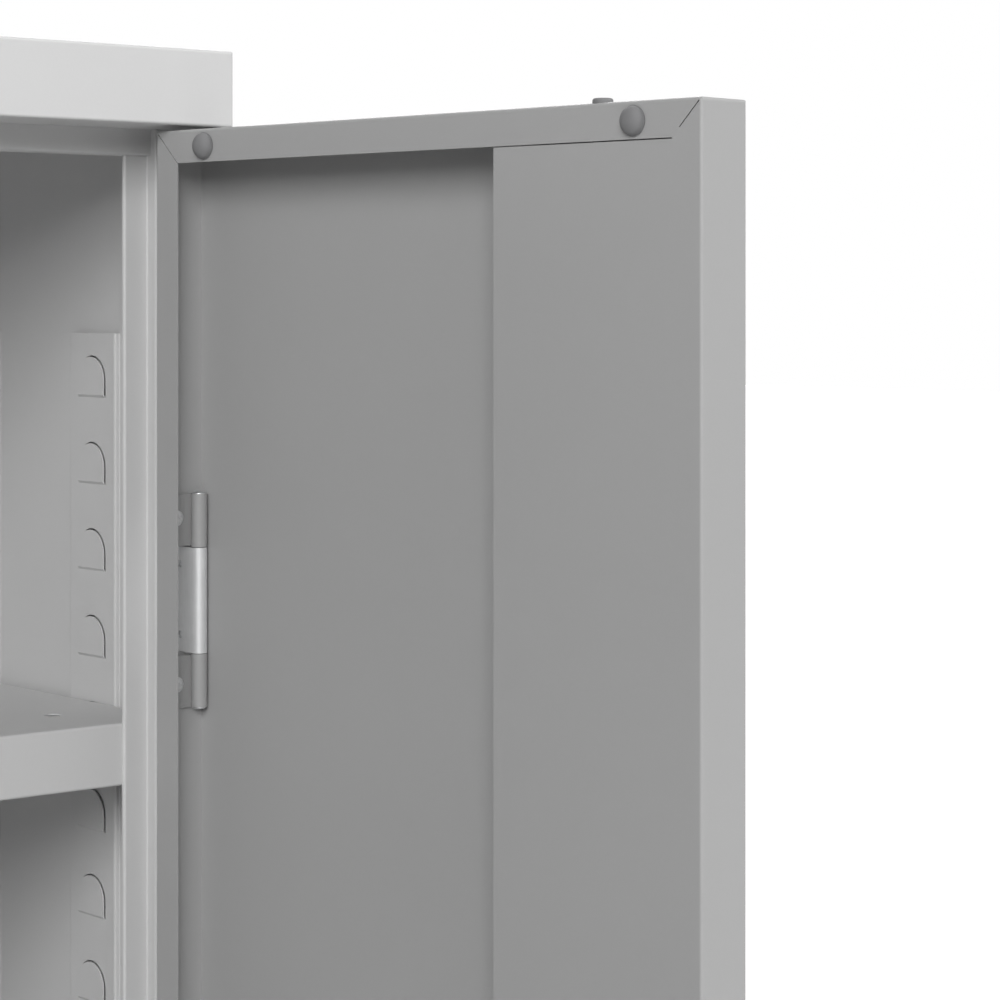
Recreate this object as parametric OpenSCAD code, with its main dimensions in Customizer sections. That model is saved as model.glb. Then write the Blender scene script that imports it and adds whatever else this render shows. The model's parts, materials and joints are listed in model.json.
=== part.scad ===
// Two-door steel locker cabinet with four adjustable shelves.
// Front faces -Y, +Z is up, origin at the centre of the footprint on the floor.
// Both doors stand open at rest, the locking rods are drawn in.

/* [Cabinet] */
// Overall width
cabinet_w = 800; // [700:10:1000]
// Overall depth, cap included
cabinet_d = 380; // [360:5:500]
// Overall height
cabinet_h = 1800; // [1500:10:1950]
// Sheet thickness of panels and doors
sheet_t = 0.8; // [0.6:0.1:1]
// Outer radius of a folded edge
fold_r = 1.6; // [1.3:0.1:2]
// Height of the top cap's fascia
cap_h = 42; // [36:1:60]
// How far the cap stands ahead of the closed doors
cap_overhang = 8; // [2:1:12]
// Height of the base
base_h = 60; // [50:1:90]
// Width of the base's bottom flange
base_flange_w = 32; // [26:1:50]
// Diameter of the fixing holes in base and back
fixing_d = 9; // [6:0.5:11]
// Distance of the fixing holes from the sides
fixing_side = 60; // [50:5:100]
// Distance of the wall fixing holes from top and floor
fixing_end = 120; // [100:5:200]

/* [Front frame] */
// Width of the side panel's front edge beside the door
side_edge_w = 4.6; // [4.6:0.1:8]
// Width of the jamb that the door's flange closes on
jamb_cover_w = 19.4; // [17:0.1:26]
// Step back from that face to the jamb's inner lip
jamb_step = 8.3; // [6:0.1:12]
// Width of the jamb's inner lip
jamb_lip_w = 15.4; // [12:0.1:22]
// Depth of the return behind the inner lip
jamb_return = 2.2; // [2:0.1:4]
// Gap between the closed door's flange and the jamb
jamb_gap = 1.3; // [1:0.1:2]
// How far the rails reach past the door's end
rail_drop = 11.7; // [8:0.1:16]
// Depth of the top rail's lower return
rail_return = 14; // [8:1:20]

/* [Doors] */
// Thickness of a door
door_t = 32.5; // [30:0.5:36]
// Angle at which the doors stand open at rest
door_open = 96; // [80:1:100]
// Gap between the closed door and the side edge
door_side_gap = 3.4; // [3.2:0.1:5]
// Gap between the two closed doors
door_centre_gap = 4; // [3:0.5:6]
// Gap above and below a closed door
door_end_gap = 3; // [2.8:0.1:5]
// Width of the door's return flanges
door_flange_w = 18; // [16:0.5:24]
// Width of the boxed stiffener at the free edge
stiffener_w = 132; // [110:1:150]
// Width of the stiffener's foot on the skin
stiffener_foot = 12; // [8:1:20]
// Width of the slits between folded flanges
slit_w = 0.6; // [0.6:0.1:1.2]
// Width of the cover strip on the left door
cover_strip_w = 34; // [28:1:45]
// How far the cover strip reaches past the left door
cover_strip_reach = 15; // [10:1:17]

/* [Hinges] */
// Outer diameter of the knuckles
knuckle_d = 9; // [8:0.5:9]
// Diameter of the hinge pin
pin_d = 5; // [4:0.5:5]
// Radial clearance of the pin in the knuckles
pin_clearance = 0.05; // [0.03:0.01:0.1]
// Thickness of the leaves
leaf_t = 2; // [1.5:0.1:2]
// Length of an outer knuckle
outer_knuckle_l = 29.4; // [24:0.2:36]
// Length of the middle knuckle
middle_knuckle_l = 58.5; // [50:0.5:70]
// Gap between knuckles
knuckle_gap = 0.4; // [0.3:0.1:1]
// Distance of the end hinges' centres from the door's ends
hinge_from_end = 259; // [200:1:320]
// Depth of the hinge axis behind the door's face
hinge_depth = 6.3; // [6:0.1:6.5]
// Depth of the frame leaf behind the hinge axis
frame_leaf_run = 20; // [18:0.5:21]
// Clearance of the frame leaf in the door's cut-out
cutout_clearance = 1.2; // [1:0.1:2]
// Height of the cut-out above and below the middle knuckle
cutout_margin = 1.2; // [1:0.1:5]
// Diameter of the two holes in the frame leaf
leaf_hole_d = 4; // [3:0.5:5]

/* [Bumpers] */
// Diameter of a bumper
bumper_d = 15; // [12:0.5:17]
// Height of a bumper above the flange
bumper_h = 6; // [4:0.5:7]
// Diameter of a bumper's stem
bumper_stem_d = 4.9; // [4:0.1:6]
// Distance of a bumper from the door's side edge
bumper_side = 41; // [30:1:60]
// Distance of a bumper from the door's end
bumper_end = 9.4; // [9:0.1:10]

/* [Interior] */
// Number of shelves
shelf_count = 4; // [1:1:4]
// Height of a shelf's front lip
shelf_lip_h = 35; // [30:1:45]
// Height of a shelf's side and back flanges
shelf_side_h = 24; // [20:1:28]
// Gap between a shelf's front and the jamb's return
shelf_setback = 0.4; // [0.4:0.1:3]
// Gap between a shelf and the uprights
shelf_side_gap = 1.6; // [1.5:0.1:3]
// Gap between a shelf and the back
shelf_back_gap = 4; // [2:1:10]
// Diameter of the holes near a shelf's corners
shelf_hole_d = 10; // [6:0.5:12]
// Distance of those holes from a shelf's sides
shelf_hole_side = 46; // [40:1:60]
// Distance of those holes from a shelf's front and back
shelf_hole_front = 52; // [40:1:60]
// Width of the rib under a shelf
rib_w = 60; // [40:5:90]
// Height of the rib under a shelf
rib_h = 18; // [12:1:20]
// Spacing of the shelf tabs
tab_pitch = 51; // [48:1:60]
// Width of a shelf tab
tab_w = 28; // [24:1:32]
// Height of a shelf tab
tab_h = 24; // [20:1:27]
// Drop from the cabinet's top to the first tab's fold
first_tab_drop = 195; // [180:1:220]
// How far a tab is pressed out of its window
tab_press = 1.2; // [0.8:0.1:1.5]
// Width of the slit round a tab
tab_slit = 0.8; // [0.3:0.1:1]
// Which tab carries the highest shelf, counted from the top
top_shelf_tab = 4; // [3:1:6]
// Tabs between one shelf and the next
tabs_per_shelf = 7; // [5:1:7]
// Width of an upright
upright_w = 50; // [40:1:60]
// How far an upright stands off the side panel
upright_depth = 4.1; // [3.5:0.1:8]
// Distance of the front uprights' middle from the cap's front
front_upright = 139; // [130:1:160]
// Distance of the rear uprights' middle from the back
rear_upright = 89; // [60:1:110]

/* [Lock] */
// Height of the handle's spindle above the floor
handle_z = 950; // [850:10:1050]
// Diameter of the locking rods
rod_d = 8; // [6:0.5:8]
// Diameter of the rods' plastic tips
rod_tip_d = 10; // [9:0.5:12]
// Length of a rod tip
rod_tip_l = 40; // [34:1:60]
// How far a drawn-in rod tip stands out of the door
rod_proud = 2.6; // [2:0.1:2.6]
// Gap between a rod tip and the stiffener's skin
rod_skin_gap = 0.4; // [0.4:0.1:1.2]
// Pitch radius of the lock's pinion
pinion_r = 10; // [9:0.5:11]
// Number of teeth on the pinion
pinion_teeth = 12; // [12:2:16]
// Backlash between pinion and racks
backlash = 0.3; // [0.2:0.05:0.5]
// Side of the square spindle
spindle_w = 7; // [6:0.5:7]
// Length of the lever handle
lever_l = 118; // [90:1:140]
// Width of the lever handle
lever_w = 22; // [18:1:26]
// Diameter of the handle's hub
hub_d = 26; // [24:1:30]
// Diameter of the key cylinder
cylinder_d = 13; // [10:0.5:14]
// Height of the handle's backplate
backplate_h = 132; // [110:1:160]
// Width of the handle's backplate
backplate_w = 38; // [34:1:46]

/* [Hidden] */
$fn = 48;

cut = 1;
fold_steps = 6;
carcass_grey = [0.80, 0.80, 0.80];
door_grey = [0.64, 0.64, 0.64];
zinc = [0.74, 0.75, 0.76];
plastic_grey = [0.36, 0.36, 0.37];

// Places worked out from the sizes above
front_y = -cabinet_d / 2;
back_y = cabinet_d / 2;
door_face_y = front_y + cap_overhang;
side_x = cabinet_w / 2;
side_edge_x = side_x - side_edge_w;
knuckle_r = knuckle_d / 2;
hinge_side = knuckle_r + sheet_t;
door_w = cabinet_w / 2 - side_edge_w - door_side_gap - door_centre_gap / 2;
door_top = cabinet_h - cap_h - door_end_gap;
door_bottom = base_h + door_end_gap;
hinge_x = side_edge_x - door_side_gap - hinge_side;
hinge_y = door_face_y + hinge_depth;
flange_v = hinge_depth - door_t;
free_u = door_w - hinge_side;
stiffener_u = free_u - stiffener_w;
side_panel_y = door_face_y + 2 * fold_r;
jamb_y = door_face_y + door_t + jamb_gap;
jamb_riser_x = side_edge_x - jamb_cover_w;
lip_y = jamb_y + jamb_step;
lip_x = jamb_riser_x - jamb_lip_w;
bumper_rest = 0.3;
rail_y = door_face_y + door_t + bumper_h + bumper_rest;
rail_bottom = door_top - rail_drop;
floor_z = door_bottom + rail_drop;
panel_end = back_y - sheet_t;
foot_hole_y = -door_face_y - sheet_t - base_flange_w / 2;
leaf_hole_side = 9.6;
leaf_hole_run = 12;
mitre_web = 2.4;
mitre_foot = 6.4;
bumper_rim = 1.5;
hinge_zs = [door_top - hinge_from_end, (door_top + door_bottom) / 2, door_bottom + hinge_from_end];

upright_x = side_x - sheet_t - upright_depth;
front_upright_y = front_y + front_upright;
rear_upright_y = back_y - rear_upright;
first_tab_z = cabinet_h - first_tab_drop;
upright_margin = 14;
tab_joggle = 1.6;
upright_top = first_tab_z + tab_h + upright_margin;
last_tab_z = floor_z + tab_pitch;
tab_count = floor((first_tab_z - last_tab_z) / tab_pitch) + 1;
shelf_front_y = lip_y + jamb_return + shelf_setback;
shelf_half_w = upright_x - shelf_side_gap;
shelf_back_y = panel_end - shelf_back_gap;
function tab_z(i) = first_tab_z - i * tab_pitch;
shelf_step = min(tabs_per_shelf, floor((tab_count - 1 - top_shelf_tab) / max(shelf_count - 1, 1)));
function shelf_tab(s) = top_shelf_tab + s * shelf_step;
function shelf_top(s) = tab_z(shelf_tab(s)) + sheet_t + shelf_side_h;
function is_shelf_tab(i) = len([for (s = [0 : shelf_count - 1]) if (shelf_tab(s) == i) s]) > 0;

rod_u = free_u - stiffener_w / 2;
rod_depth = sheet_t + rod_tip_d / 2 + rod_skin_gap;
rod_v = flange_v + rod_depth;
rod_travel = pinion_r * PI / 2;
rod_hole_clearance = 0.05;
rod_closed_x = hinge_x - rod_u;
rod_closed_y = hinge_y - rod_v;
strike_d = rod_tip_d + 3;
tooth_module = 2 * pinion_r / pinion_teeth;
rack_t = 4;
rack_body_w = 5;
rack_top = 46;
rod_link_h = 8;
case_t = 1;
case_h = 70;
case_half_w = pinion_r + 1.25 * tooth_module + rack_body_w + 1.5 + case_t;
case_back_v = rod_v + rack_t / 2 + 1;
pinion_hub_d = 14;
pinion_stub_d = 7;
backplate_t = 3;
plate_seat_v = hinge_depth;
hub_h = 12;
lever_t = 9;
lever_gap = 0.5;
screw_d = 4;
screw_head_d = 7.6;
screw_head_h = 2.2;
case_screw_z = case_h / 2 - 8;
case_screw_u = case_half_w + 6;
plate_screw_z = backplate_h / 2 - 12;
clip_zs = [(handle_z + door_top) / 2, (handle_z + door_bottom) / 2];
bush_h = 6;
bush_d = 16;
rod_cap_t = 4;
upper_reach = door_top + rod_proud - handle_z;
lower_reach = handle_z - door_bottom + rod_proud;
cylinder_depth = 8;
spindle_grip = 6;

// Points of a rectangle from a to b whose corners are rounded by r
function round_rect(a, b, r) = [
    for (q = [0 : 3], k = [0 : fold_steps])
        let (
            ang = 180 + 90 * q + 90 * k / fold_steps,
            cx = (q == 0 || q == 3) ? a.x + r : b.x - r,
            cy = (q == 0 || q == 1) ? a.y + r : b.y - r
        )
        [cx + r * cos(ang), cy + r * sin(ang)]
];

// A folded sheet seen on edge: one face runs along the path, the other lies t to its right
function unit(v) = v / norm(v);
function turn(d, e) = atan2(d.x * e.y - d.y * e.x, d.x * e.x + d.y * e.y);
function rotated(v, a) = [v.x * cos(a) - v.y * sin(a), v.x * sin(a) + v.y * cos(a)];
function fold_points(p, d, e, t, r, right) =
    let (
        a = turn(d, e),
        s = sign(a),
        reach = s > 0 ? r : r + t,
        radius = right ? (s > 0 ? r + t : r) : reach,
        left = [-d.y, d.x],
        centre = p - d * reach * tan(abs(a) / 2) + left * s * reach
    )
    [for (k = [0 : fold_steps]) centre + rotated(-s * left * radius, a * k / fold_steps)];
function sheet_side(path, t, r, right) =
    let (
        n = len(path),
        d0 = unit(path[1] - path[0]),
        d1 = unit(path[n - 1] - path[n - 2]),
        off = right ? t : 0
    )
    concat(
        [path[0] + off * [d0.y, -d0.x]],
        [for (i = [1 : n - 2])
            each fold_points(path[i], unit(path[i] - path[i - 1]), unit(path[i + 1] - path[i]), t, r, right)],
        [path[n - 1] + off * [d1.y, -d1.x]]
    );
function reversed(list) = [for (i = [len(list) - 1 : -1 : 0]) list[i]];
function sheet_outline(path, t, r) =
    concat(sheet_side(path, t, r, false), reversed(sheet_side(path, t, r, true)));

module folded_sheet(path, h, t = sheet_t) {
    linear_extrude(h) polygon(sheet_outline(path, t, fold_r - sheet_t));
}

module box(a, b) {
    translate(a) cube(b - a);
}

// Extrudes an outline drawn in the YZ plane along X, centred on X = 0
module along_x(length) {
    translate([-length / 2, 0, 0]) rotate([90, 0, 90]) linear_extrude(length) children();
}

// A box from a to b whose folded edges are rounded
module folded_box(a, b) {
    intersection() {
        translate([0, 0, a.z]) linear_extrude(b.z - a.z)
            polygon(round_rect([a.x, a.y], [b.x, b.y], fold_r));
        translate([(a.x + b.x) / 2, 0, 0]) along_x(b.x - a.x)
            polygon(round_rect([a.y, a.z], [b.y, b.z], fold_r));
        translate([0, b.y, 0]) rotate([90, 0, 0]) linear_extrude(b.y - a.y)
            polygon(round_rect([a.x, a.z], [b.x, b.z], fold_r));
    }
}

module mirrored_x() {
    mirror([1, 0, 0]) children();
}

// Door coordinates: X runs from the hinge axis to the free edge, Y out through the skin
module on_right_door() {
    translate([hinge_x, hinge_y, 0]) rotate([0, 0, 180 + door_open]) children();
}

module on_left_door() {
    mirrored_x() on_right_door() children();
}

module fixing_holes(half_x, ys, h) {
    for (x = [-half_x, half_x], y = ys) {
        translate([x, y, -cut]) cylinder(h = h + 2 * cut, d = fixing_d);
    }
}

// Carcass ------------------------------------------------------------------

module top_cap() {
    soffit_z = cabinet_h - cap_h;
    color(carcass_grey) difference() {
        folded_box([-side_x, front_y, soffit_z], [side_x, back_y, cabinet_h]);
        box([-side_x + sheet_t, front_y + sheet_t, soffit_z + sheet_t],
            [side_x - sheet_t, back_y - sheet_t, cabinet_h - sheet_t]);
        box([-side_x + sheet_t, rail_y + sheet_t, soffit_z - cut],
            [side_x - sheet_t, back_y - sheet_t, soffit_z + cut + sheet_t]);
        translate([rod_closed_x, rod_closed_y, soffit_z - cut])
            cylinder(h = sheet_t + 2 * cut, d = strike_d);
    }
}

module base() {
    flange = sheet_t + base_flange_w;
    color(carcass_grey) difference() {
        folded_box([-side_x, door_face_y, 0], [side_x, back_y, base_h]);
        box([-side_x + sheet_t, door_face_y + sheet_t, sheet_t],
            [side_x - sheet_t, back_y - sheet_t, base_h - sheet_t]);
        box([-side_x + flange, door_face_y + flange, -cut],
            [side_x - flange, back_y - flange, sheet_t + cut]);
        fixing_holes(side_x - fixing_side, [-foot_hole_y, foot_hole_y], sheet_t);
        translate([rod_closed_x, rod_closed_y, base_h - sheet_t - cut])
            cylinder(h = sheet_t + 2 * cut, d = strike_d);
    }
}

module back_panel() {
    color(carcass_grey) difference() {
        box([-side_x, panel_end, base_h], [side_x, back_y, cabinet_h - cap_h]);
        for (x = [-1, 1], z = [fixing_end, cabinet_h - fixing_end]) {
            translate([x * (side_x - fixing_side), panel_end - cut, z]) rotate([-90, 0, 0])
                cylinder(h = sheet_t + 2 * cut, d = fixing_d);
        }
    }
}

module floor_panel() {
    behind_jamb = lip_y + jamb_return + sheet_t;
    color(carcass_grey) {
        along_x(2 * jamb_riser_x) polygon(sheet_outline(
            [[rail_y, base_h], [rail_y, floor_z], [panel_end, floor_z]], sheet_t, fold_r - sheet_t));
        box([-side_x + sheet_t, behind_jamb, floor_z - sheet_t],
            [side_x - sheet_t, panel_end, floor_z]);
    }
}

module top_rail() {
    color(carcass_grey) along_x(2 * jamb_riser_x) polygon(sheet_outline(
        [[rail_y + rail_return, rail_bottom], [rail_y, rail_bottom], [rail_y, cabinet_h - cap_h]],
        sheet_t, fold_r - sheet_t));
}

module side_panel() {
    color(carcass_grey) box([side_x - sheet_t, side_panel_y, base_h], [side_x, panel_end, cabinet_h - cap_h]);
}

// Folded front edge of the side, from the side panel round to the inner lip
module jamb() {
    color(carcass_grey) difference() {
        translate([0, 0, base_h]) folded_sheet([
            [side_x, side_panel_y],
            [side_x, door_face_y],
            [side_edge_x, door_face_y],
            [side_edge_x, jamb_y],
            [jamb_riser_x, jamb_y],
            [jamb_riser_x, lip_y],
            [lip_x, lip_y],
            [lip_x, lip_y + jamb_return]
        ], cabinet_h - cap_h - base_h);
        box([lip_x - cut, lip_y - fold_r, rail_bottom],
            [jamb_riser_x, lip_y + jamb_return + cut, cabinet_h]);
        box([lip_x - cut, lip_y - fold_r, 0],
            [jamb_riser_x, lip_y + jamb_return + cut, floor_z]);
    }
}

// Outline of a shelf tab above its fold, widened all round by grow
module tab_outline(grow) {
    r = tab_w / 2;
    intersection() {
        union() {
            translate([0, tab_h - r]) circle(r + grow);
            translate([-r - grow, 0]) square([tab_w + 2 * grow, tab_h - r]);
        }
        translate([-tab_w, 0]) square([2 * tab_w, 2 * tab_h]);
    }
}

// Window that a shelf tab is lanced out of
module tab_window(y, z) {
    translate([upright_x - cut, y, z]) rotate([90, 0, 90])
        linear_extrude(sheet_t + 2 * cut) tab_outline(tab_slit);
}

// Tab pressed out of its window a little, ready to be folded out
module pressed_tab(y, z) {
    intersection() {
        translate([upright_x - 2 * tab_press, y, z]) rotate([90, 0, 90])
            linear_extrude(4 * tab_press) tab_outline(0);
        translate([0, y + tab_w, z]) rotate([90, 0, 0]) linear_extrude(2 * tab_w) polygon([
            [upright_x + sheet_t, 0],
            [upright_x + sheet_t - tab_press, tab_joggle],
            [upright_x + sheet_t - tab_press, tab_h + cut],
            [upright_x - tab_press, tab_h + cut],
            [upright_x - tab_press, tab_joggle],
            [upright_x, 0]
        ]);
    }
}

// Tab folded out level under a shelf
module folded_tab(y, z) {
    translate([upright_x + sheet_t, y, z]) rotate([0, 0, 90])
        linear_extrude(sheet_t) tab_outline(0);
}

module upright(y) {
    foot = 14;
    web_x = side_x - sheet_t - 0.05;
    color(carcass_grey) {
        difference() {
            translate([0, 0, floor_z]) folded_sheet([
                [web_x - sheet_t, y - upright_w / 2 - foot],
                [web_x - sheet_t, y - upright_w / 2],
                [upright_x, y - upright_w / 2],
                [upright_x, y + upright_w / 2],
                [web_x - sheet_t, y + upright_w / 2],
                [web_x - sheet_t, y + upright_w / 2 + foot]
            ], upright_top - floor_z);
            for (i = [0 : tab_count - 1]) {
                tab_window(y, tab_z(i));
            }
        }
        for (i = [0 : tab_count - 1]) {
            if (is_shelf_tab(i)) {
                folded_tab(y, tab_z(i));
            } else {
                pressed_tab(y, tab_z(i));
            }
        }
    }
}

module shelf(s) {
    top = shelf_top(s);
    inner_w = shelf_half_w - sheet_t;
    lip_return = 12;
    color(carcass_grey) difference() {
        union() {
            along_x(2 * shelf_half_w) polygon(sheet_outline([
                [shelf_front_y + lip_return, top - shelf_lip_h],
                [shelf_front_y, top - shelf_lip_h],
                [shelf_front_y, top],
                [shelf_back_y, top],
                [shelf_back_y, top - shelf_side_h]
            ], sheet_t, fold_r - sheet_t));
            for (side = [-1, 1]) {
                translate([side * (inner_w + sheet_t / 2), 0, 0])
                    box([-sheet_t / 2, shelf_front_y + fold_r, top - shelf_side_h],
                        [sheet_t / 2, shelf_back_y - fold_r, top - sheet_t / 2]);
            }
        }
        for (x = [-1, 1], y = [shelf_front_y + shelf_hole_front, shelf_back_y - shelf_hole_front]) {
            translate([x * (shelf_half_w - shelf_hole_side), y, top - sheet_t - cut])
                cylinder(h = sheet_t + 2 * cut, d = shelf_hole_d);
        }
    }
}

module shelf_ribs() {
    foot = 12;
    mid_y = (shelf_front_y + shelf_back_y) / 2;
    color(carcass_grey) for (s = [0 : shelf_count - 1]) {
        under = shelf_top(s) - sheet_t;
        along_x(2 * (shelf_half_w - sheet_t)) polygon(sheet_outline([
            [mid_y - rib_w / 2 - foot, under],
            [mid_y - rib_w / 2, under],
            [mid_y - rib_w / 2, under - rib_h],
            [mid_y + rib_w / 2, under - rib_h],
            [mid_y + rib_w / 2, under],
            [mid_y + rib_w / 2 + foot, under]
        ], sheet_t, fold_r - sheet_t));
    }
}

// Hinges -------------------------------------------------------------------

module knuckle(h) {
    difference() {
        cylinder(h = h, r = knuckle_r);
        translate([0, 0, -cut]) cylinder(h = h + 2 * cut, r = pin_d / 2 + pin_clearance);
    }
}

// Zinc leaf: back from its knuckle, round behind the door's edge wall to the jamb
module frame_leaf(z) {
    run = [
        [-knuckle_r, 0],
        [-knuckle_r, frame_leaf_run],
        [side_edge_x - hinge_x, frame_leaf_run],
        [side_edge_x - hinge_x, knuckle_r + cutout_clearance]
    ];
    color(zinc) translate([hinge_x, hinge_y, z - middle_knuckle_l / 2]) difference() {
        union() {
            cylinder(h = middle_knuckle_l, r = knuckle_r);
            linear_extrude(middle_knuckle_l) polygon(sheet_outline(run, leaf_t, leaf_t / 2));
        }
        translate([0, 0, -cut]) cylinder(h = middle_knuckle_l + 2 * cut, r = pin_d / 2 + pin_clearance);
        for (h = [leaf_hole_side, middle_knuckle_l - leaf_hole_side]) {
            translate([-knuckle_r - cut, leaf_hole_run, h]) rotate([0, 90, 0])
                cylinder(h = leaf_t + 2 * cut, d = leaf_hole_d);
        }
    }
}

// The two outer knuckles with the plates that are welded inside the door's edge wall
module door_leaves(z) {
    plate_in = -flange_v - sheet_t;
    gap_edge = middle_knuckle_l / 2 + knuckle_gap;
    plate_trim = cutout_margin - knuckle_gap;
    color(door_grey) for (side = [-1, 1]) {
        translate([0, 0, z]) mirror([0, 0, side < 0 ? 1 : 0]) translate([0, 0, gap_edge]) {
            knuckle(outer_knuckle_l);
            difference() {
                box([-knuckle_r, -plate_in, plate_trim], [-knuckle_r + leaf_t, 0, outer_knuckle_l]);
                translate([0, 0, -cut]) cylinder(h = outer_knuckle_l + 2 * cut, r = knuckle_r - leaf_t / 2);
            }
        }
    }
}

module hinge_pins() {
    pin_l = middle_knuckle_l + 2 * knuckle_gap + 2 * outer_knuckle_l;
    color(zinc) for (z = hinge_zs) {
        translate([0, 0, z - pin_l / 2]) cylinder(h = pin_l, d = pin_d);
    }
}

// Doors --------------------------------------------------------------------

// Slits between the flanges at the door's top, as boxes through the flange's sheet
module flange_slits() {
    for (corner = [-hinge_side, free_u]) {
        tilt = corner < 0 ? -45 : 45;
        reach = door_flange_w * sqrt(2) - (corner < 0 ? 0 : mitre_foot);
        translate([corner, flange_v - cut, 0]) rotate([0, tilt, 0])
            translate([-slit_w / 2, 0, -reach]) cube([slit_w, sheet_t + 2 * cut, reach - mitre_web]);
    }
    translate([stiffener_u - cut, flange_v - cut, -door_flange_w - slit_w])
        cube([stiffener_w - door_flange_w + cut, sheet_t + 2 * cut, slit_w]);
}

module leaf_cutouts() {
    cut_near = -cutout_clearance / 3;
    cut_far = -frame_leaf_run - cutout_clearance;
    half_h = middle_knuckle_l / 2 + cutout_margin;
    for (z = hinge_zs) {
        box([-hinge_side - cut, cut_far, z - half_h], [-hinge_side + sheet_t + cut / 2, cut_near, z + half_h]);
    }
}

module bumper_places() {
    for (u = [bumper_side - hinge_side, free_u - bumper_side]) {
        translate([u, flange_v, door_top - bumper_end]) children();
        translate([u, flange_v, door_bottom + bumper_end]) children();
    }
}

module door_shell() {
    web_v = hinge_depth - 2 * sheet_t;
    difference() {
        union() {
            difference() {
                folded_box([-hinge_side, flange_v, door_bottom], [free_u, hinge_depth, door_top]);
                box([-hinge_side + sheet_t, flange_v + sheet_t, door_bottom + sheet_t],
                    [free_u - sheet_t, hinge_depth - sheet_t, door_top - sheet_t]);
                box([-hinge_side + door_flange_w, flange_v - cut, door_bottom + door_flange_w],
                    [stiffener_u, flange_v + sheet_t + cut, door_top - door_flange_w]);
            }
            translate([0, 0, door_bottom + door_flange_w + slit_w]) folded_sheet([
                [stiffener_u + 2 * door_flange_w, flange_v],
                [stiffener_u, flange_v],
                [stiffener_u, web_v],
                [stiffener_u - stiffener_foot, web_v]
            ], door_top - door_bottom - 2 * (door_flange_w + slit_w));
        }
        translate([0, 0, door_top]) flange_slits();
        translate([0, 0, door_bottom]) mirror([0, 0, 1]) flange_slits();
        leaf_cutouts();
        bumper_places() rotate([-90, 0, 0])
            translate([0, 0, -cut]) cylinder(h = sheet_t + 2 * cut, d = bumper_stem_d + 0.1);
    }
}

module left_door_panel() {
    color(door_grey) door_shell();
}

module right_door_panel() {
    color(door_grey) difference() {
        door_shell();
        for (z = [door_bottom - cut, door_top - sheet_t - cut]) {
            translate([rod_u, rod_v, z]) cylinder(h = sheet_t + 2 * cut, d = rod_tip_d + 1);
        }
        translate([rod_u, hinge_depth - sheet_t - cut, handle_z]) rotate([-90, 0, 0])
            cylinder(h = sheet_t + 2 * cut, d = hub_d - 6);
        for (side = [-1, 1]) {
            translate([rod_u, hinge_depth - sheet_t - cut, handle_z + side * plate_screw_z]) rotate([-90, 0, 0])
                cylinder(h = sheet_t + 2 * cut, d = screw_d + 0.1);
        }
        case_screw_places() translate([0, 0, -cut]) cylinder(h = sheet_t + 2 * cut, d = screw_d + 0.1);
    }
}

module bumpers() {
    crown_r = (pow(bumper_d / 2, 2) + pow(bumper_h - bumper_rim, 2)) / (2 * (bumper_h - bumper_rim));
    stem_l = sheet_t + 2.4;
    color(plastic_grey) bumper_places() rotate([90, 0, 0]) {
        cylinder(h = bumper_rim, d = bumper_d);
        translate([0, 0, bumper_rim]) intersection() {
            translate([0, 0, bumper_h - bumper_rim - crown_r]) sphere(crown_r);
            cylinder(h = bumper_h, d = bumper_d);
        }
        translate([0, 0, -stem_l]) cylinder(h = stem_l, d = bumper_stem_d);
    }
}

// Flat strip on the left door that covers the gap behind the right door's edge
module left_cover_strip() {
    end_margin = 45;
    strip_t = 1.2;
    joggle = 0.6;
    joggle_u = free_u - fold_r;
    color(door_grey) {
        box([free_u - cover_strip_w + cover_strip_reach, flange_v - strip_t, door_bottom + end_margin],
            [joggle_u, flange_v, door_top - end_margin]);
        box([joggle_u - strip_t, flange_v - strip_t - joggle, door_bottom + end_margin],
            [free_u + cover_strip_reach, flange_v - joggle, door_top - end_margin]);
    }
}

// Lock ---------------------------------------------------------------------

module at_spindle() {
    translate([rod_u, 0, handle_z]) children();
}

module case_screw_places() {
    for (u = [-1, 1], z = [-1, 1]) {
        translate([rod_u + u * case_screw_u, flange_v, handle_z + z * case_screw_z]) rotate([-90, 0, 0])
            children();
    }
}

module lock_case() {
    seat_v = flange_v + sheet_t;
    ear = case_screw_u + 6;
    color(zinc) difference() {
        at_spindle() {
            box([-ear, seat_v, -case_h / 2], [ear, seat_v + case_t, case_h / 2]);
            for (side = [-1, 1]) {
                translate([side * (case_half_w - case_t / 2), 0, 0])
                    box([-case_t / 2, seat_v, -case_h / 2], [case_t / 2, case_back_v + case_t, case_h / 2]);
            }
            box([-case_half_w, case_back_v, -case_h / 2], [case_half_w, case_back_v + case_t, case_h / 2]);
        }
        at_spindle() translate([0, seat_v - cut, 0]) rotate([-90, 0, 0])
            cylinder(h = case_t + 2 * cut, d = pinion_stub_d + 0.1);
        at_spindle() translate([0, case_back_v - cut / 2, 0]) rotate([-90, 0, 0])
            cylinder(h = case_t + 2 * cut, d = pinion_hub_d + 0.1);
        case_screw_places() translate([0, 0, sheet_t - cut / 2])
            cylinder(h = case_t + cut, d = screw_d + 0.1);
    }
}

module lock_case_screws() {
    color(zinc) case_screw_places() {
        translate([0, 0, -screw_head_h]) cylinder(h = screw_head_h, d = screw_head_d);
        cylinder(h = sheet_t + case_t + 3, d = screw_d);
    }
}

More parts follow.
